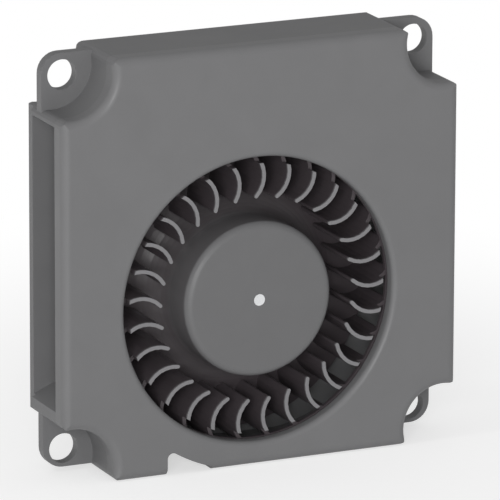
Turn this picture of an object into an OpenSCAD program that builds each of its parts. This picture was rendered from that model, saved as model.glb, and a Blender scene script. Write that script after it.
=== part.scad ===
// Slim centrifugal blower: a flat square scroll housing with a bladed wheel that is turned
// by an outer-rotor brushless motor in its hub. Air enters through the round inlet in the
// front cover and leaves through the open left side. Millimetres, +Z up, the inlet faces -Y,
// and the origin lies under the middle of the body, on the surface that it stands on.

/* [Body] */
// Width across the body, left to right
body_w = 45; // [40:0.5:60]
// Height of the body
body_h = 45; // [40:0.5:60]
// Thickness from the back face to the front face
body_d = 10; // [9.6:0.1:14]
// Thickness of the side walls
wall = 1; // [0.8:0.1:1.4]
// Thickness of the back plate
floor_t = 1; // [0.9:0.1:1.4]
// Thickness of the cover plate
cover_t = 1; // [0.8:0.1:1.4]
// How far the cover's rim reaches down over the side walls
rim_h = 1.2; // [0.6:0.1:1.8]
// Radius of the rounded front edge
edge_r = 0.9; // [0.3:0.1:1]
// Radius of the rounded back edge
back_r = 0.6; // [0.2:0.1:0.8]

/* [Corners] */
// Distance of each mounting hole from both edges of its corner
hole_inset = 2.5; // [2:0.1:3.5]
// Diameter of the mounting holes
hole_d = 3.2; // [2.2:0.1:3.6]
// Thickness of the mounting ears
ear_t = 1.2; // [0.8:0.1:2]
// Height of the ears' back face above the body's back face
ear_z = 2.7; // [2:0.1:5]
// How far the ears stay inside the body's outline
ear_recess = 0.2; // [0:0.1:0.6]
// How much further the lower ears stay above the bottom edge
ear_lift = 0.3; // [0:0.1:0.6]
// Radius of the ears' round corner
ear_round = 2.2; // [1:0.1:2.4]
// Radius of the round pocket cut from each corner
pocket_r = 4.5; // [4.2:0.1:5.5]
// Distance of the pocket's centre from the side edge
pocket_x = 1.3; // [1:0.1:2.5]
// Distance of the pocket's centre from the top or the bottom edge
pocket_y = 1.6; // [1:0.1:2.5]
// Radius that rounds the body's edges beside each pocket
pocket_round = 0.8; // [0.5:0.1:1]

/* [Scroll] */
// How far the shaft lies left of the body's middle
fan_left = 0.3; // [0:0.1:1]
// Smallest gap between the wheel and the scroll wall
wheel_gap = 1; // [0.6:0.1:2]
// Direction of the tongue seen from the shaft, in degrees
tongue_a = 207; // [200:1:215]
// Radius of the tongue's tip
tongue_r = 0.7; // [0.4:0.1:1]
// Distance from the shaft, leftwards, to the far side of the notch in the bottom edge
notch_far = 10.5; // [9:0.1:12]
// Width of the notch
notch_w = 5.2; // [3:0.1:6]
// Radius of the notch's upper corner
notch_round = 0.6; // [0.3:0.1:1]
// Thickness of the scroll wall over the notch
notch_wall = 1.4; // [1:0.1:1.6]
// How far the back plate stops short of the side with the outlet
outlet_short = 0.4; // [0.2:0.1:0.6]

/* [Inlet] */
// How much smaller the inlet's radius is than the wheel's
inlet_inset = 0.5; // [0.2:0.1:1.5]
// Radius of the inlet's rounded lip
lip_r = 0.6; // [0.2:0.1:0.8]
// Radial width of the collar round the inlet, behind the cover plate
collar_w = 0.8; // [0.5:0.1:1.5]
// How far the collar stands behind the cover plate
collar_h = 0.4; // [0.2:0.1:0.8]

/* [Wheel] */
// Number of blades
blades = 29; // [17:2:35]
// How far the first blade stands round from the right, in degrees
blade_turn = 0.9; // [0:0.1:12]
// Outer radius of the wheel
wheel_r = 15.8; // [13:0.1:19]
// Radius of the blades' inner ends
blade_in_r = 10.8; // [10:0.1:11.5]
// Thickness of a blade
blade_t = 0.4; // [0.35:0.05:0.7]
// Radius of a blade's curve
blade_curve = 3.1; // [2.8:0.1:5]
// How far the centre of a blade's curve is moved outwards from its even place
blade_lean = 0.25; // [0:0.05:0.5]
// How far the blades stay behind the front face inside the inlet
blade_drop = 0.7; // [0.4:0.1:1.5]
// How far the raised part of the blades stays inside the inlet's edge
blade_step = 0.8; // [0.4:0.1:1]
// Running gap in front of the wheel and behind it
run_gap = 0.4; // [0.3:0.05:0.8]
// Thickness of the wheel's back disc
disc_t = 0.7; // [0.5:0.1:1]
// Width and height of the ring that joins the blades' outer front corners
tip_ring = 0.5; // [0.3:0.1:0.8]
// Outer radius of the hub
hub_r = 8.3; // [8.2:0.1:9]
// How far the hub's top lies behind the front face
hub_drop = 0.2; // [0.1:0.1:1]
// Thickness of the hub's top
hub_top_t = 1; // [0.8:0.1:1.4]
// Radius of the hub's top edge
hub_round = 0.8; // [0.3:0.1:0.8]
// Radius of the hollow curve from the hub to the back disc
flare_r = 3.7; // [2.5:0.1:3.9]

/* [Motor] */
// Thickness of the hub's side wall
hub_wall = 0.55; // [0.4:0.05:0.8]
// Thickness of the steel rotor cup
yoke_t = 0.4; // [0.3:0.05:0.6]
// Radial thickness of the ring magnet
magnet_t = 0.8; // [0.6:0.05:1]
// Height of the ring magnet
magnet_h = 5; // [4:0.1:6]
// Gap between the magnet and the stator's poles
air_gap = 0.25; // [0.15:0.05:0.4]
// Number of steel sheets in the stator
sheets = 6; // [3:1:8]
// Thickness of one steel sheet
sheet_t = 0.5; // [0.35:0.05:0.5]
// Width of a stator arm
arm_w = 1.3; // [1:0.1:1.6]
// Radial depth of a pole shoe
shoe_t = 0.7; // [0.5:0.1:1]
// Half of the angle that a pole shoe spans
shoe_a = 38; // [30:1:40]
// Thickness of the plastic insulators
ins_t = 0.4; // [0.3:0.05:0.5]
// Thickness of the winding on an arm
coil_t = 0.6; // [0.4:0.05:0.7]

/* [Bearings] */
// Shaft diameter
shaft_d = 2; // [1.6:0.1:2.2]
// Outer diameter of a ball bearing
bearing_d = 5; // [4.8:0.1:5.4]
// Height of a ball bearing
bearing_h = 2.5; // [2:0.1:2.6]
// Diameter of the balls
ball_d = 0.8; // [0.6:0.05:0.9]
// Number of balls in a bearing
balls = 7; // [5:1:8]
// Wall of the brass bearing tube
tube_t = 0.6; // [0.4:0.05:0.8]
// Diameter of the preload spring's wire
spring_wire = 0.22; // [0.15:0.01:0.3]
// Turns of the preload spring
spring_turns = 2.5; // [1.5:0.5:3.5]

/* [Circuit board] */
// Thickness of the circuit board
board_t = 0.5; // [0.4:0.05:0.8]
// Width of the lead channel in the back face
channel_w = 2.6; // [1.6:0.1:4]
// Depth of the lead channel
channel_t = 0.45; // [0.2:0.05:0.5]

/* [Fits] */
// Gap round the locating lip inside the cover's rim
lip_gap = 0.05; // [0.03:0.01:0.15]
// Width of the cover's rim
rim_w = 0.5; // [0.3:0.05:0.6]
// Running clearance of the balls in their grooves and cage
ball_gap = 0.02; // [0.01:0.01:0.04]

/* [Hidden] */
$fn = 64;
eps = 0.01;

// Radii, from the shaft outwards
shaft_r = shaft_d / 2;
tip_r = 0.62 * shaft_r;
bearing_r = bearing_d / 2;
ball_r = ball_d / 2;
groove_r = ball_r + ball_gap;
pitch_r = (shaft_r + bearing_r) / 2;
race_t = 0.07;
ring_t = pitch_r - shaft_r - ball_r + race_t;
tube_r = bearing_r + tube_t;
boss_r = tube_r + 0.7;
cup_out_r = hub_r - hub_wall;
cup_in_r = cup_out_r - yoke_t;
magnet_in_r = cup_in_r - magnet_t;
core_r = magnet_in_r - air_gap;
core_hub_r = tube_r + 0.9;
shoe_in_r = core_r - shoe_t;
board_r = cup_in_r - 0.05;
pin_r = 0.2;
pin_gap = 0.02;
pin_pad_r = 0.55;
solder_r = 0.42;
pin_at_r = boss_r + pin_pad_r;
clip_r = shaft_r + 0.7;
clip_in_r = shaft_r - 0.25;
hub_boss_r = shaft_r + 1.3;
cup_hole_r = hub_boss_r + 0.3;
skirt_r = cup_out_r + 0.7;
cage_t = 0.13;
spool_t = 0.35;
coil_gap = 0.05;
ins_over = ins_t - 0.1;
inlet_r = wheel_r - inlet_inset;
scroll_r = wheel_r + wheel_gap;

// Places across the body
fan = [-fan_left, scroll_r + wall];
right_r = body_w / 2 - wall + fan_left;
top_r = body_h - wall - fan[1];
outlet_low = pocket_y + pocket_r + wall + 0.2;
notch_r = scroll_r + notch_wall;

// Heights above the back face
front_z = body_d;
plate_z = front_z - cover_t;
seam_z = plate_z - rim_h;
blade_z = front_z - blade_drop;
tip_z = plate_z - collar_h - run_gap;
disc_z = floor_t + run_gap + 0.1;
hub_z = front_z - hub_drop;
cup_z = hub_z - hub_top_t;
board_z = 0.7;
channel_end = tube_r + 1.4;
window_l = 1.8;
clip_t = 0.3;
clip_z = 1;
rear_z = clip_z + clip_t;
shoulder_t = 0.5;
shoulder_z = rear_z + bearing_h;
front_bearing_z = cup_z - 1 - bearing_h;
tube_top_z = front_bearing_z + bearing_h + 0.1;
label_t = 0.2;
label_r = boss_r + 4.6;
shaft_z = 0.55;
tip_low_z = hub_z - 0.6;
stack_h = sheets * sheet_t;
coil_low = board_z + board_t + 1.1;
stack_z = coil_low + coil_t + ins_t;
magnet_z = stack_z + stack_h / 2 - magnet_h / 2;
cup_low_z = magnet_z - 0.3;

// Colours
black_plastic = "#6a6a6b";
wheel_plastic = "#636364";
steel = "#b9bbbd";
dark_steel = "#6d6f72";
brass = "#b8964f";
copper = "#a8552c";
board_green = "#2d5b3a";

function polar(r, a) = [r * cos(a), r * sin(a)];
function arc(c, r, a0, a1, n) = [for (i = [0:n]) c + polar(r, a0 + (a1 - a0) * i / n)];

// The bottom right corner of the body's outline: a small rounding on either side of the pocket.
// Between the two the line runs to the pocket's middle, and body_shape() cuts a true circle.
function corner(inset) = let (
        q = pocket_round,
        low = sqrt(pow(pocket_r + q, 2) - pow(pocket_y - q, 2)),
        high = sqrt(pow(pocket_r + q, 2) - pow(pocket_x - q, 2)))
    concat(arc([-pocket_x - low, q], q - inset, -90, atan2(pocket_y - q, low) - 8, 4),
        [[-pocket_x, pocket_y]],
        arc([-q, pocket_y + high], q - inset, -82 - atan2(pocket_x - q, high), 0, 4));

function mirrored(points, x, y) = let (n = len(points))
    [for (i = [0:n - 1]) let (p = points[x * y > 0 ? i : n - 1 - i]) [x * p[0], y * p[1]]];

// The body's outline, counter-clockwise from the bottom right, moved inwards by inset
function outline(inset = 0) = [for (s = [[1, 1], [1, -1], [-1, -1], [-1, 1]],
        p = mirrored(corner(inset), s[0], s[1]))
    [s[0] * body_w / 2, s[1] > 0 ? 0 : body_h] + p];

// Radius of the scroll at an angle from the bottom, 270, over the right side to the top, 450
function scroll_at(a) = a < 360
    ? scroll_r + (right_r - scroll_r) * (a - 270) / 90
    : right_r + (top_r - right_r) * (a - 360) / 90;
function scroll(grow = 0) = [for (a = [270:6:450]) fan + polar(scroll_at(a) + grow, a)];

// Stands what is drawn with its back face on z = 0 up in the body's own frame
module stand() translate([0, body_d / 2, 0]) rotate([90, 0, 0]) children();
module at_shaft(z = 0) stand() translate([fan[0], fan[1], z]) children();
module ring(r_out, r_in, h, z = 0) translate([0, 0, z]) difference() {
    cylinder(r = r_out, h = h);
    translate([0, 0, -1]) cylinder(r = r_in, h = h + 2);
}
module slab(z0, z1) translate([0, 0, z0]) linear_extrude(z1 - z0) children();
module at_corners(rows = [0, 1]) for (x = [-1, 1], y = rows)
    translate([x * body_w / 2, y * body_h]) scale([x > 0 ? -1 : 1, y > 0 ? -1 : 1]) children();

// ---- Flat shapes of the body ----

// Room for the lead in the bottom edge, with a round upper corner, under the scroll wall
module notch() let (
    left = fan[0] - notch_far,
    x = left + notch_round,
    y = fan[1] - sqrt(pow(notch_r + notch_round, 2) - pow(x - fan[0], 2)),
    a = atan2(fan[1] - y, fan[0] - x))
    polygon(concat([[left + notch_w, -1], [left, -1]], arc([x, y], notch_round, 180, a, 8),
        arc(fan, notch_r, a + 180, 270 + asin((notch_w - notch_far) / notch_r), 12)));

module body_shape(inset = 0) difference() {
    polygon(outline(inset));
    at_corners() translate([pocket_x, pocket_y]) circle(r = pocket_r + inset);
    notch();
}

// The room that the air turns in: the disc round the wheel, the growing scroll and the duct
module air_room() difference() {
    polygon(concat(scroll(),
        [[-body_w / 2 - 1, body_h - wall], [-body_w / 2 - 1, outlet_low]],
        arc(fan + polar(scroll_r + tongue_r, tongue_a), tongue_r, 113, tongue_a - 180, 6),
        arc(fan, scroll_r, tongue_a, 270, 12)));
    translate([-body_w / 2 + pocket_x, body_h - pocket_y]) circle(r = pocket_r + wall);
    translate([fan[0], -wall]) square([body_w, 2 * wall]);
}

// Hollows between the scroll wall and the outer walls, on the right
module corner_rooms() difference() {
    translate([fan[0] + 8, wall]) square([body_w / 2 - wall - fan[0] - 8, body_h - 2 * wall]);
    polygon(scroll(wall));
    for (y = [pocket_y, body_h - pocket_y])
        translate([body_w / 2 - pocket_x, y]) circle(r = pocket_r + wall);
}

// A long bar that rounds the four edges of one face where it meets the body, cut end to end
module edge_profile(w, h, r) polygon(concat([[-w / 2, 0], [w / 2, 0]],
    arc([w / 2 - r, h - r], r, 0, 90, 6), arc([r - w / 2, h - r], r, 90, 180, 6)));

// Everything within the body's square whose far edges are rounded by r
module rounded_block(h, r) intersection() {
    translate([0, body_h, 0]) rotate([90, 0, 0])
        linear_extrude(body_h) edge_profile(body_w, h, r);
    translate([-body_w / 2, body_h / 2, 0]) rotate([90, 0, 90])
        linear_extrude(body_w) edge_profile(body_h, h, r);
}

// ---- Housing ----

// Flat ear with one round corner, from the pocket's wall out to the screw hole
module ear(low) difference() {
    intersection() {
        polygon(concat([[pocket_r * 2, pocket_r * 2], [ear_recess, pocket_r * 2]],
            arc([ear_recess + ear_round, low + ear_round], ear_round, 180, 270, 8),
            [[pocket_r * 2, low]]));
        translate([pocket_x, pocket_y]) circle(r = pocket_r + 0.5 * wall);
    }
    translate([hole_inset, hole_inset]) circle(d = hole_d);
}

module housing() color(black_plastic) stand() difference() {
    union() {
        intersection() {
            union() {
                slab(0, floor_t) body_shape();
                slab(floor_t - eps, seam_z) difference() {
                    body_shape();
                    air_room();
                    corner_rooms();
                }
                slab(seam_z - eps, plate_z) difference() {
                    body_shape(rim_w + lip_gap);
                    air_room();
                    corner_rooms();
                }
            }
            translate([0, 0, body_d]) mirror([0, 0, 1]) rounded_block(body_d, back_r);
        }
        slab(ear_z, ear_z + ear_t) at_corners(1) ear(ear_recess);
        slab(ear_z, ear_z + ear_t) at_corners(0) ear(ear_recess + ear_lift);
        translate([fan[0], fan[1], board_z]) cylinder(r = boss_r, h = stack_z - ins_t - board_z);
    }
    // The back plate stops a little short of the cover above it
    translate([-body_w / 2 - 1, -1, -1]) cube([1 + outlet_short, body_h + 2, floor_t + 1.5]);
    translate([fan[0], fan[1], -1]) {
        cylinder(r = tube_r, h = body_d);
        cylinder(r = label_r, h = 1 + label_t);
    }
    // Seat of the circuit board
    translate([fan[0], fan[1], 0]) ring(board_r + 0.3, boss_r, floor_t, board_z);
    lead_channel();
}

// Channel in the back face from the board to the notch, with a window to the board
module lead_channel() translate([fan[0], fan[1], 0])
    rotate(atan2(-scroll_r, notch_w / 2 - notch_far)) {
        translate([channel_end, -channel_w / 2, -1])
            cube([scroll_r, channel_w, 1 + channel_t]);
        translate([channel_end, -channel_w / 2, -1]) cube([window_l, channel_w, 1 + board_z + eps]);
    }

// ---- Cover ----

module front_cover() color(black_plastic) stand() difference() {
    union() {
        intersection() {
            union() {
                slab(plate_z, front_z) body_shape();
                slab(seam_z, plate_z + eps) difference() {
                    body_shape();
                    body_shape(rim_w);
                }
            }
            rounded_block(front_z, edge_r);
        }
        translate([fan[0], fan[1], 0])
            cylinder_between(inlet_r + collar_w, plate_z - collar_h, plate_z + eps);
    }
    translate([fan[0], fan[1], 0]) inlet_cut();
    at_corners_3d() pocket_edge_cut();
}

module cylinder_between(r, z0, z1) translate([0, 0, z0]) cylinder(r = r, h = z1 - z0);

module inlet_cut() rotate_extrude() polygon(concat(
    [[0, front_z + 1], [0, seam_z], [inlet_r, seam_z]],
    arc([inlet_r + lip_r, front_z - lip_r], lip_r, 180, 90, 8),
    [[inlet_r + lip_r, front_z + 1]]));

module at_corners_3d() for (x = [-1, 1], y = [0, 1])
    translate([x * body_w / 2, y * body_h, 0]) mirror([x > 0 ? 1 : 0, 0, 0])
        mirror([0, y > 0 ? 1 : 0, 0]) children();

// Takes the front edge off a pocket in the same round as the body's edge
module pocket_edge_cut() translate([pocket_x, pocket_y, 0]) rotate_extrude()
    polygon(concat([[0, front_z + 1], [0, front_z - edge_r]],
        arc([pocket_r + edge_r, front_z - edge_r], edge_r, 180, 90, 8),
        [[pocket_r + edge_r, front_z + 1]]));

// ---- Rotor ----

module impeller() color(wheel_plastic) at_shaft() {
    rotate_extrude() hub_profile();
    blade_ring();
    ring(wheel_r, wheel_r - tip_ring, tip_ring, tip_z - tip_ring);
}

// Half section of the hub, its hollow flare and the back disc
module hub_profile() let (
            flare = [hub_r + flare_r, disc_z + disc_t + flare_r],
        under_r = flare_r + disc_t,
        nose_z = front_bearing_z + bearing_h)
    polygon(concat(
        [[tip_r, hub_z]],
        arc([hub_r - hub_round, hub_z - hub_round], hub_round, 90, 0, 6),
        arc(flare, flare_r, 180, 270, 10),
        [[wheel_r, disc_z + disc_t], [wheel_r, disc_z]],
        arc(flare, under_r, 270, 180 + acos((flare[0] - skirt_r) / under_r), 8),
        [[skirt_r, disc_z], [cup_out_r, disc_z], [cup_out_r, cup_z], [hub_boss_r, cup_z],
        [hub_boss_r, nose_z + 0.3], [shaft_r + ring_t, nose_z + 0.3],
        [shaft_r + ring_t, nose_z], [shaft_r, nose_z], [shaft_r, tip_low_z],
        [tip_r, tip_low_z]]));

module blade_ring() difference() {
    slab(disc_z + disc_t - eps, blade_z)
        for (k = [0:blades - 1]) rotate(360 * k / blades + blade_turn) polygon(blade());
    translate([0, 0, tip_z]) difference() {
        cylinder(r = wheel_r + 1, h = body_d);
        translate([0, 0, -1]) cylinder(r = inlet_r - blade_step, h = body_d + 2);
    }
}

// Outline of one blade: an arc of even thickness, hollow towards the way it turns
function blade() = let (
        far = wheel_r - blade_t / 2,
        near = blade_in_r + blade_t / 2,
        c = sqrt((far * far + near * near) / 2 - blade_curve * blade_curve) + blade_lean,
        a_far = acos((far * far - c * c - blade_curve * blade_curve) / (2 * c * blade_curve)),
        a_near = acos((near * near - c * c - blade_curve * blade_curve) / (2 * c * blade_curve)),
        h = blade_t / 2)
    concat(arc([c, 0], blade_curve + h, -a_near, -a_far, 8),
        arc([c, 0] + polar(blade_curve, -a_far), h, -a_far + 30, -a_far + 150, 3),
        arc([c, 0], blade_curve - h, -a_far, -a_near, 7),
        arc([c, 0] + polar(blade_curve, -a_near), h, -a_near + 210, -a_near + 330, 3));

module rotor_cup() color(dark_steel) at_shaft() {
    ring(cup_out_r, cup_in_r, cup_z - cup_low_z, cup_low_z);
    ring(cup_in_r + eps, cup_hole_r, yoke_t, cup_z - yoke_t);
}

module ring_magnet() color("#3b3937") at_shaft() ring(cup_in_r, magnet_in_r, magnet_h, magnet_z);

module shaft() color(steel) at_shaft() difference() {
    union() {
        cylinder_between(shaft_r, shaft_z, tip_low_z);
        cylinder_between(tip_r, tip_low_z - eps, hub_z);
    }
    ring(shaft_r + 1, clip_in_r, clip_t, clip_z);
}

module retaining_clip() color(steel) at_shaft(clip_z) difference() {
    ring(clip_r, clip_in_r, clip_t);
    translate([0, 0, -1]) linear_extrude(clip_t + 2)
        polygon([[0, 0], polar(4, -125), polar(4, -90), polar(4, -55)]);
}

// ---- Bearings ----

module bearing_tube() color(brass) at_shaft() {
    ring(tube_r, bearing_r, tube_top_z - label_t, label_t);
    ring(bearing_r + eps, bearing_r - 0.4, shoulder_t, shoulder_z);
}

module groove(z) translate([0, 0, z]) rotate_extrude()
    translate([pitch_r, 0]) circle(r = groove_r, $fn = 32);

module outer_ring(z) color(steel) at_shaft(z) difference() {
    ring(bearing_r, bearing_r - ring_t, bearing_h);
    groove(bearing_h / 2);
}

module inner_ring(z) color(steel) at_shaft(z) difference() {
    ring(shaft_r + ring_t, shaft_r, bearing_h);
    groove(bearing_h / 2);
}

module ball_set(z) color("silver") at_shaft(z + bearing_h / 2)
    for (k = [0:balls - 1]) rotate(360 * k / balls) translate([pitch_r, 0]) sphere(r = ball_r);

module cage(z) color(brass) at_shaft(z + bearing_h / 2) difference() {
    ring(pitch_r + cage_t, pitch_r - cage_t, ball_d + 0.5, -ball_r - 0.25);
    for (k = [0:balls - 1]) rotate(360 * k / balls) translate([pitch_r, 0, 0])
        cube([1, ball_d + 3 * ball_gap, ball_d + 3 * ball_gap], center = true);
}

module shields(z) color(steel) at_shaft(z) for (s = [0.1, bearing_h - 0.22])
    ring(bearing_r - ring_t, shaft_r + ring_t + 0.08, 0.12, s);

module front_bearing_outer_ring() outer_ring(front_bearing_z);
module front_bearing_inner_ring() inner_ring(front_bearing_z);
module front_bearing_balls() ball_set(front_bearing_z);
module front_bearing_cage() cage(front_bearing_z);
module front_bearing_shields() shields(front_bearing_z);
module rear_bearing_outer_ring() outer_ring(rear_z);
module rear_bearing_inner_ring() inner_ring(rear_z);
module rear_bearing_balls() ball_set(rear_z);
module rear_bearing_cage() cage(rear_z);
module rear_bearing_shields() shields(rear_z);

// Helical wire between the tube's shoulder and the front bearing's outer ring
module preload_spring() color(steel) at_shaft() let (
        low = shoulder_z + shoulder_t + spring_wire / 2,
        rise = front_bearing_z - low - spring_wire / 2,
        mean_r = bearing_r - spring_wire / 2 - 0.03,
        steps = round(spring_turns * 24), sides = 8,
        at = function (i, k) let (
                r = mean_r + spring_wire / 2 * cos(360 * k / sides),
                a = 360 * spring_turns * i / steps)
            [r * cos(a), r * sin(a), low + rise * i / steps
                + spring_wire / 2 * sin(360 * k / sides)])
    polyhedron(
        [for (i = [0:steps], k = [0:sides - 1]) at(i, k)],
        concat([[for (k = [0:sides - 1]) k]],
            [for (i = [0:steps - 1], k = [0:sides - 1]) let (n = (k + 1) % sides)
                [i * sides + k, (i + 1) * sides + k, (i + 1) * sides + n, i * sides + n]],
            [[for (k = [sides - 1:-1:0]) steps * sides + k]]));

// ---- Stator ----

// Flat shape of a steel sheet, or of what lies on it with every edge moved out by grow
module pole_shape(grow = 0) {
    circle(r = core_hub_r + grow);
    for (k = [0:3]) rotate(90 * k + 45) {
        translate([0, -arm_w / 2 - grow]) square([core_r - shoe_t / 2, arm_w + 2 * grow]);
        if (grow == 0) shoe();
    }
}

module shoe() polygon(concat(arc([0, 0], core_r, -shoe_a, shoe_a, 14),
    [polar(core_r - 0.3, shoe_a), polar(shoe_in_r, 16), polar(shoe_in_r, -16),
    polar(core_r - 0.3, -shoe_a)]));

module stator_core() color(dark_steel) at_shaft() for (k = [0:sheets - 1])
    slab(stack_z + k * sheet_t, stack_z + (k + 1) * sheet_t) difference() {
        pole_shape();
        circle(r = tube_r);
    }

// Plate with a wall at each arm's end that keeps the winding in place
module insulator() difference() {
    union() {
        slab(0, ins_t) pole_shape(ins_over);
        for (k = [0:3]) rotate(90 * k + 45)
            translate([shoe_in_r - spool_t, -arm_w / 2 - coil_t, 0])
                cube([spool_t, arm_w + 2 * coil_t, ins_t + coil_t]);
    }
    translate([0, 0, -1]) cylinder(r = tube_r, h = 3);
}

module front_insulator() color("ivory") at_shaft(stack_z + stack_h) insulator();
module rear_insulator() color("ivory") at_shaft(stack_z) difference() {
    union() {
        mirror([0, 0, 1]) insulator();
        terminal_places() translate([0, 0, -ins_t]) cylinder(r = pin_pad_r, h = ins_t);
    }
    terminal_places() translate([0, 0, -2]) cylinder(r = pin_r + pin_gap, h = 3, $fn = 24);
    translate([0, 0, -2]) cylinder(r = tube_r, h = 3);
}

// Winding round one arm: a rounded block with the arm's slot through it
module coil(k) color(copper) at_shaft(stack_z + stack_h / 2) rotate(90 * k + 45)
    translate([core_hub_r + spool_t, 0, 0]) rotate([90, 0, 90])
        linear_extrude(shoe_in_r - spool_t - coil_gap - core_hub_r - spool_t) difference() {
            coil_shape(arm_w / 2 + ins_over + coil_t, stack_h / 2 + ins_t + coil_t, coil_t);
            coil_shape(arm_w / 2 + ins_over, stack_h / 2 + ins_t, coil_gap);
        }

module coil_shape(x, y, r) polygon(concat(arc([x - r, y - r], r, 0, 90, 5),
    arc([r - x, y - r], r, 90, 180, 5), arc([r - x, r - y], r, 180, 270, 5),
    arc([x - r, r - y], r, 270, 360, 5)));

module coil_1() coil(0);
module coil_2() coil(1);
module coil_3() coil(2);
module coil_4() coil(3);

// ---- Circuit board ----

module terminal_places() for (a = [0, 90, 180]) rotate(a) translate([pin_at_r, 0]) children();

module terminal_pins() color(brass) at_shaft() terminal_places()
    cylinder_between(pin_r, board_z, stack_z - eps, $fn = 24);

module circuit_board() color(board_green) at_shaft(board_z) difference() {
    ring(board_r, boss_r + 0.1, board_t);
    terminal_places() translate([0, 0, -1]) cylinder(r = pin_r + pin_gap, h = 3, $fn = 24);
}

// A part on the board, placed at a radius and an angle from the shaft
module on_board(r, a, size) at_shaft(board_z + board_t) rotate(a)
    translate([r, -size[1] / 2, 0]) cube(size);

module driver_chip() color("#222222") on_board(4.9, 45, [1.8, 2.6, 0.75]);
module capacitor() color("#b08d57") on_board(5, 135, [0.8, 1.6, 0.7]);
module resistor() color("#303030") on_board(5, 290, [0.8, 1.6, 0.45]);
module solder_joints() color("silver") at_shaft(board_z + board_t) terminal_places()
    ring(solder_r, pin_r, 0.25);

housing();
front_cover();
impeller();
rotor_cup();
ring_magnet();
shaft();
retaining_clip();
bearing_tube();
front_bearing_outer_ring();
front_bearing_inner_ring();
front_bearing_balls();
front_bearing_cage();
front_bearing_shields();
rear_bearing_outer_ring();
rear_bearing_inner_ring();
rear_bearing_balls();
rear_bearing_cage();
rear_bearing_shields();
preload_spring();
stator_core();
front_insulator();
rear_insulator();
coil_1();
coil_2();
coil_3();
coil_4();
terminal_pins();
circuit_board();
driver_chip();
capacitor();
resistor();
solder_joints();
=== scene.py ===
import math

import bmesh
import bpy
from mathutils import Matrix, Vector

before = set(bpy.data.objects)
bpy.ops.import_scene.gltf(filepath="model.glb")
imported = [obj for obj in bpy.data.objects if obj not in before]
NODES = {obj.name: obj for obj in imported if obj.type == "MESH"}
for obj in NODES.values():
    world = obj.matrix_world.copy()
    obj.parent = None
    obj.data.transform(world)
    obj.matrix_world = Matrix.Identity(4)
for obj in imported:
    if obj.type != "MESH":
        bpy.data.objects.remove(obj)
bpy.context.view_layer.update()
MM = 0.001
SCENE = bpy.context.scene
FAN_X, FAN_Z = (-0.3, 17.8)

# The wheel's radii and depths in mm that bound its painted shade and painted highlight; -5 is the
# front
HUB_FACE_R, HUB_SIDE_R = (8.1, 8.5)
FLARE_R, BLADES_R = (9.6, 11.0)
TIP_Y, BELOW_TIP_Y = (-4.25, -3.95)


# ---- Materials ----

def srgb(v):
    """Linear value of an sRGB level from 0 to 255."""
    v /= 255.0
    return v / 12.92 if v <= 0.04045 else ((v + 0.055) / 1.055) ** 2.4


def rgb(r, g, b):
    return (srgb(r), srgb(g), srgb(b), 1.0)


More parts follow.
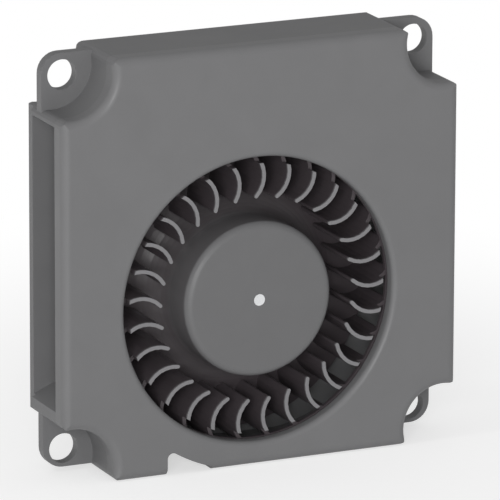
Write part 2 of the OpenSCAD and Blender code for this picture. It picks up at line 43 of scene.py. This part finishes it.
class Mat:
    """A material whose nodes are added one at a time."""

    def __init__(self, name):
        self.m = bpy.data.materials.new(name)
        self.m.use_nodes = True
        self.t = self.m.node_tree
        self.bsdf = self.t.nodes["Principled BSDF"]
        self.coord = self.add("ShaderNodeTexCoord").outputs["Object"]

    def add(self, kind, **inputs):
        n = self.t.nodes.new(kind)
        for k, v in inputs.items():
            n.inputs[k.replace("_", " ")].default_value = v
        return n

    def link(self, a, b):
        self.t.links.new(a, b)

    def noise(self, scale, detail=2.0, rough=0.5, distortion=0.0, stretch=None):
        n = self.add("ShaderNodeTexNoise", Scale=scale, Detail=detail, Roughness=rough,
                     Distortion=distortion)
        at = self.coord
        if stretch:
            mp = self.add("ShaderNodeMapping", Scale=stretch)
            self.link(at, mp.inputs["Vector"])
            at = mp.outputs["Vector"]
        self.link(at, n.inputs["Vector"])
        return n.outputs["Fac"]

    def ramp(self, fac, stops):
        r = self.add("ShaderNodeValToRGB")
        e = r.color_ramp.elements
        while len(e) < len(stops):
            e.new(0.5)
        for el, (p, c) in zip(e, stops):
            el.position = p
            el.color = c if hasattr(c, "__len__") else (c, c, c, 1.0)
        self.link(fac, r.inputs["Fac"])
        return r.outputs["Color"]

    def span(self, fac, lo, hi, from_lo=0.3, from_hi=0.7):
        n = self.add("ShaderNodeMapRange")
        n.inputs["From Min"].default_value = from_lo
        n.inputs["From Max"].default_value = from_hi
        n.inputs["To Min"].default_value = lo
        n.inputs["To Max"].default_value = hi
        self.link(fac, n.inputs["Value"])
        return n.outputs["Result"]

    def mix(self, fac, a, b, blend="MIX"):
        n = self.t.nodes.new("ShaderNodeMix")
        n.data_type = "RGBA"
        n.blend_type = blend
        for socket, value in ((n.inputs["Factor"], fac), (n.inputs["A"], a), (n.inputs["B"], b)):
            if isinstance(value, bpy.types.NodeSocket):
                self.link(value, socket)
            else:
                socket.default_value = value
        return n.outputs["Result"]

    def axis_distance(self):
        """Distance from the wheel's axis."""
        n = self.t.nodes.new("ShaderNodeVectorMath")
        n.operation = "MULTIPLY_ADD"
        self.link(self.coord, n.inputs[0])
        n.inputs[1].default_value = (1, 0, 1)
        n.inputs[2].default_value = (-FAN_X * MM, 0, -FAN_Z * MM)
        length = self.t.nodes.new("ShaderNodeVectorMath")
        length.operation = "LENGTH"
        self.link(n.outputs[0], length.inputs[0])
        return length.outputs["Value"]

    def depth(self):
        """Position along Y: -5 mm at the front, 5 mm at the back."""
        n = self.t.nodes.new("ShaderNodeSeparateXYZ")
        self.link(self.coord, n.inputs[0])
        return n.outputs["Y"]

    def soft_edge(self, radius):
        """Normals that round the sharp edges a little."""
        n = self.t.nodes.new("ShaderNodeBevel")
        n.samples = 6
        n.inputs["Radius"].default_value = radius
        return n.outputs["Normal"]

    def bump(self, height, distance, strength=1.0, normal=None):
        b = self.add("ShaderNodeBump", Strength=strength, Distance=distance)
        self.link(height, b.inputs["Height"])
        if normal is not None:
            self.link(normal, b.inputs["Normal"])
        return b.outputs["Normal"]

    def done(self, **sockets):
        for k, v in sockets.items():
            s = self.bsdf.inputs[k.replace("_", " ")]
            if isinstance(v, bpy.types.NodeSocket):
                self.link(v, s)
            else:
                s.default_value = v
        return self.m


def tint(c, k):
    return (c[0] * k, c[1] * k, c[2] * k, 1.0)


def moulded(name, color, rough=0.55, grain=1.0, coat=0.12, edge=0.08, shade=None):
    """Moulded plastic: a fine spark-eroded grain, faint flow marks and a rubbed sheen."""
    m = Mat(name)
    fine = m.noise(5200, 3.0, 0.6)
    soft = m.noise(190, 3.0, 0.55, 0.4)
    flow = m.noise(60, 2.0, 0.5, 1.2, (1.0, 1.0, 0.35))
    base = m.ramp(soft, [(0.3, tint(color, 0.965)), (0.7, tint(color, 1.035))])
    base = m.mix(m.span(flow, 0.0, 0.4), base, tint(color, 0.93))
    if shade:
        base = shade(m, base)
    gloss = m.span(soft, rough - 0.05, rough + 0.06)
    normal = m.bump(fine, 0.000016 * grain, 0.6, m.soft_edge(edge * MM) if edge else None)
    normal = m.bump(soft, 0.00003, 0.25, normal)
    return m.done(Base_Color=base, Roughness=gloss, Normal=normal, Coat_Weight=coat,
                  Coat_Roughness=0.26, **{"Specular IOR Level": 0.32})


def wheel_painted_shade_and_highlight(m, base):
    """Painted shade and highlight: the wheel is painted darker behind the hub's face and the
    blades' front edges, darker still further out, and the blades' front edges are painted paler as
    a highlight.
    """
    r = m.axis_distance()
    y = m.depth()
    hub = m.span(r, 1.0, 0.0, HUB_FACE_R * MM, HUB_SIDE_R * MM)
    tip_highlight = m.span(y, 1.0, 0.0, TIP_Y * MM, BELOW_TIP_Y * MM)
    out = m.span(r, 0.0, 1.0, FLARE_R * MM, BLADES_R * MM)
    # painted shade: the wheel's deeper parts darker, darkest furthest from the axis
    inner = m.mix(out, rgb(90, 86, 88), rgb(74, 68, 71))
    # painted highlight: the blades' front edges paler than the rest
    outer = m.mix(tip_highlight, inner, rgb(128, 127, 129))
    return m.mix(hub, outer, base)


def metal(name, color, rough=0.3, turned=True, scale=900):
    """Bare metal with fine tool marks: rings when turned, else a straight brushing."""
    m = Mat(name)
    at = m.noise(scale, 4.0, 0.6, 0.0, (1.0, 6.0, 1.0) if turned else (6.0, 1.0, 0.4))
    spots = m.noise(260, 2.0)
    base = m.ramp(spots, [(0.25, tint(color, 0.9)), (0.75, tint(color, 1.05))])
    return m.done(Base_Color=base, Metallic=1.0, Roughness=m.span(at, rough - 0.06, rough + 0.1),
                  Normal=m.bump(at, 0.000006, 0.5))


def winding(name, color):
    """Layers of enamelled wire, wound round an arm."""
    m = Mat(name)
    w = m.add("ShaderNodeTexWave", Scale=1100.0, Distortion=0.6, Detail=1.0)
    w.wave_type = "BANDS"
    w.bands_direction = "DIAGONAL"
    m.link(m.coord, w.inputs["Vector"])
    base = m.ramp(w.outputs["Fac"], [(0.1, tint(color, 0.55)), (0.7, color)])
    return m.done(Base_Color=base, Metallic=0.75, Roughness=0.32,
                  Normal=m.bump(w.outputs["Fac"], 0.00006, 0.9))


def laminated(name, color):
    """Edges of stacked sheets: a thin line between one sheet and the next."""
    m = Mat(name)
    w = m.add("ShaderNodeTexWave", Scale=318.0)
    w.bands_direction = "Y"
    m.link(m.coord, w.inputs["Vector"])
    base = m.ramp(w.outputs["Fac"], [(0.0, tint(color, 0.45)), (0.12, color)])
    return m.done(Base_Color=base, Metallic=0.9, Roughness=m.span(m.noise(1500), 0.35, 0.5),
                  Normal=m.bump(w.outputs["Fac"], 0.00002, 0.5))


def board_mask(name, color):
    """Solder mask over copper tracks."""
    m = Mat(name)
    v = m.add("ShaderNodeTexVoronoi", Scale=700.0)
    v.feature = "DISTANCE_TO_EDGE"
    m.link(m.coord, v.inputs["Vector"])
    track = m.ramp(v.outputs["Distance"], [(0.05, 0.0), (0.12, 1.0)])
    base = m.mix(track, tint(color, 1.7), color)
    return m.done(Base_Color=base, Roughness=0.28, Normal=m.bump(track, 0.00002, 0.4),
                  **{"Coat Weight": 0.4})


def ceramic(name, color):
    """Fine speckled ceramic."""
    m = Mat(name)
    base = m.ramp(m.noise(2600, 3.0), [(0.3, tint(color, 0.85)), (0.7, tint(color, 1.15))])
    return m.done(Base_Color=base, Roughness=m.span(m.noise(3000), 0.4, 0.6),
                  Normal=m.bump(m.noise(4200), 0.000008, 0.6))


GREY = rgb(116, 116, 117)
M = {
    "housing": moulded("housing_plastic", rgb(112, 112, 113), 0.56),
    "cover": moulded("cover_plastic", GREY, 0.52),
    # the wheel's plastic carries painted shade in its depths and a painted highlight on the blades'
    # front edges
    "wheel": moulded("wheel_plastic", rgb(107, 107, 108), 0.46, 0.8, 0.2, 0.05, wheel_painted_shade_and_highlight),
    "cup": metal("zinc_plated_steel", (0.42, 0.43, 0.45, 1), 0.36),
    "magnet": moulded("bonded_magnet", (0.045, 0.042, 0.04, 1), 0.62, 2.0),
    "shaft": metal("shaft_steel", (0.78, 0.79, 0.8, 1), 0.22),
    "spring": metal("spring_steel", (0.55, 0.56, 0.58, 1), 0.3, False),
    "tube": metal("tube_brass", (0.68, 0.5, 0.22, 1), 0.32),
    "bearing": metal("bearing_steel", (0.62, 0.63, 0.65, 1), 0.2),
    "ball": metal("ball_steel", (0.8, 0.8, 0.82, 1), 0.14),
    "cage": metal("cage_brass", (0.6, 0.44, 0.2, 1), 0.35, False),
    "core": laminated("lamination_steel", (0.3, 0.31, 0.33, 1)),
    "nylon": moulded("insulator_nylon", rgb(226, 220, 202), 0.5),
    "copper": winding("enamelled_copper", (0.5, 0.16, 0.06, 1)),
    "pin": metal("pin_brass", (0.66, 0.54, 0.3, 1), 0.3, False),
    "board": board_mask("board_laminate", (0.02, 0.12, 0.05, 1)),
    "chip": moulded("chip_epoxy", rgb(34, 34, 36), 0.5, 1.5),
    "capacitor": ceramic("chip_ceramic", (0.4, 0.27, 0.15, 1)),
    "resistor": ceramic("chip_resistor", (0.03, 0.03, 0.033, 1)),
    "solder": metal("solder", (0.68, 0.68, 0.7, 1), 0.25, False),
}
FINISH = {
    "housing": ("housing", "housing_plastic"), "front_cover": ("cover", "cover_plastic"),
    "impeller": ("wheel", "wheel_plastic"), "rotor_cup": ("cup", "zinc_plated_steel"),
    "ring_magnet": ("magnet", "bonded_magnet"), "shaft": ("shaft", "shaft_steel"),
    "retaining_clip": ("spring", "spring_steel"), "bearing_tube": ("tube", "tube_brass"),
    "preload_spring": ("spring", "spring_steel"), "stator_core": ("core", "lamination_steel"),
    "front_insulator": ("nylon", "insulator_nylon"), "rear_insulator": ("nylon", "insulator_nylon"),
    "terminal_pins": ("pin", "pin_brass"), "circuit_board": ("board", "board_laminate"),
    "driver_chip": ("chip", "chip_epoxy"), "capacitor": ("capacitor", "chip_ceramic"),
    "resistor": ("resistor", "chip_ceramic"), "solder_joints": ("solder", "solder"),
}
for n in range(1, 5):
    FINISH[f"coil_{n}"] = ("copper", "enamelled_copper")
for end in ("front", "rear"):
    FINISH[f"{end}_bearing_outer_ring"] = ("bearing", "bearing_steel")
    FINISH[f"{end}_bearing_inner_ring"] = ("bearing", "bearing_steel")
    FINISH[f"{end}_bearing_balls"] = ("ball", "ball_steel")
    FINISH[f"{end}_bearing_cage"] = ("cage", "cage_brass")
    FINISH[f"{end}_bearing_shields"] = ("spring", "spring_steel")

for name, (key, slot) in FINISH.items():
    o = NODES[name]
    o.data.materials.clear()
    o.data.materials.append(M[key])
    o.data.shade_smooth()
    o.data.set_sharp_from_angle(angle=math.radians(32))

# ---- Camera, light and surroundings ----

AZ, EL, ROLL = (math.radians(a) for a in (24.52, 15.08, 0.19))
DIST, FOCAL_PX, SHIFT_X, SHIFT_Z = (0.680, 6554.0, 1.36 * MM, -0.67 * MM)
MIDDLE = Vector((0, -5, 22.5)) * MM
IMAGE_PX = 500
SENSOR = 36
LIT = Vector((0, 0, 22)) * MM
LAMP_AWAY = 0.9
WORLD_LEVEL = 0.43
FLOOR_GLOW = 0.58
FADE_FROM, FADE_TO = (0.03, 0.10)


def camera():
    """The camera at the angle and framing of the reference view."""
    back = Vector((-math.sin(AZ) * math.cos(EL), -math.cos(AZ) * math.cos(EL), math.sin(EL)))
    right = Vector((math.cos(AZ), -math.sin(AZ), 0))
    up = back.cross(right)
    r = right * math.cos(ROLL) + up * math.sin(ROLL)
    u = up * math.cos(ROLL) - right * math.sin(ROLL)
    cam = bpy.data.objects.new("camera", bpy.data.cameras.new("camera"))
    SCENE.collection.objects.link(cam)
    cam.data.sensor_width = SENSOR
    cam.data.lens = FOCAL_PX / IMAGE_PX * SENSOR
    cam.data.clip_start = 0.01
    at = MIDDLE + back * DIST - r * SHIFT_X - u * SHIFT_Z
    turn = Matrix((r, u, back)).transposed().to_4x4()
    cam.matrix_world = Matrix.Translation(at) @ turn
    SCENE.camera = cam


def area(name, toward, size, level):
    """A square lamp that adds level times the colour to a surface facing it."""
    lamp = bpy.data.lights.new(name, "AREA")
    lamp.size = size
    lamp.energy = level * (math.pi * LAMP_AWAY) ** 2
    o = bpy.data.objects.new(name, lamp)
    SCENE.collection.objects.link(o)
    o.location = LIT + Vector(toward).normalized() * LAMP_AWAY
    o.rotation_euler = (LIT - o.location).to_track_quat("-Z", "Y").to_euler()


def surroundings():
    """A pale floor that keeps the object's shadow and fades to white, and an even pale sky."""
    floor = bpy.data.objects.new("floor", bpy.data.meshes.new("floor"))
    SCENE.collection.objects.link(floor)
    bm = bmesh.new()
    bmesh.ops.create_circle(bm, cap_ends=True, radius=3.0, segments=64)
    bm.to_mesh(floor.data)
    bm.free()
    m = bpy.data.materials.new("floor")
    m.use_nodes = True
    t = m.node_tree
    t.nodes.clear()
    new = t.nodes.new
    out, lit, white, pale, glow, both, near, mix = (new("ShaderNode" + kind) for kind in (
        "OutputMaterial", "BsdfDiffuse", "Emission", "BsdfDiffuse", "Emission", "AddShader",
        "MixShader", "MixShader"))
    lit.inputs["Color"].default_value = (0.72, 0.72, 0.72, 1)
    pale.inputs["Color"].default_value = (0.55, 0.55, 0.55, 1)
    glow.inputs["Strength"].default_value = FLOOR_GLOW
    path, coord, length, far, seen, through = (new("ShaderNode" + kind) for kind in (
        "LightPath", "TexCoord", "VectorMath", "MapRange", "Math", "Math"))
    length.operation = "LENGTH"
    far.inputs["From Min"].default_value = FADE_FROM
    far.inputs["From Max"].default_value = FADE_TO
    far.interpolation_type = "SMOOTHSTEP"
    seen.operation = "MAXIMUM"
    through.operation = "MAXIMUM"
    for a, b in ((coord.outputs["Object"], length.inputs[0]),
                 (length.outputs["Value"], far.inputs["Value"]),
                 (path.outputs["Is Camera Ray"], seen.inputs[0]),
                 (path.outputs["Is Glossy Ray"], seen.inputs[1]),
                 (seen.outputs[0], through.inputs[0]),
                 (path.outputs["Is Transmission Ray"], through.inputs[1]),
                 (pale.outputs[0], both.inputs[0]), (glow.outputs[0], both.inputs[1]),
                 (far.outputs["Result"], near.inputs["Fac"]), (both.outputs[0], near.inputs[1]),
                 (white.outputs[0], near.inputs[2]), (through.outputs[0], mix.inputs["Fac"]),
                 (lit.outputs[0], mix.inputs[1]), (near.outputs[0], mix.inputs[2]),
                 (mix.outputs[0], out.inputs["Surface"])):
        t.links.new(a, b)
    floor.data.materials.append(m)

    world = bpy.data.worlds.new("world")
    SCENE.world = world
    world.use_nodes = True
    t = world.node_tree
    t.nodes.clear()
    new = t.nodes.new
    out, dim, bright, mix = (new("ShaderNodeOutputWorld"), new("ShaderNodeBackground"),
                             new("ShaderNodeBackground"), new("ShaderNodeMixShader"))
    dim.inputs["Color"].default_value = (1, 1, 1, 1)
    dim.inputs["Strength"].default_value = WORLD_LEVEL
    bright.inputs["Color"].default_value = (1, 1, 1, 1)
    bright.inputs["Strength"].default_value = 1.0
    path = new("ShaderNodeLightPath")
    t.links.new(path.outputs["Is Camera Ray"], mix.inputs["Fac"])
    t.links.new(dim.outputs[0], mix.inputs[1])
    t.links.new(bright.outputs[0], mix.inputs[2])
    t.links.new(mix.outputs[0], out.inputs["Surface"])


camera()
surroundings()
area("key", (-0.5, -0.84, 0.2), 0.4, 0.62)
area("spark", (-0.6, -0.1, 0.74), 0.1, 0.06)

SCENE.view_settings.view_transform = "Standard"
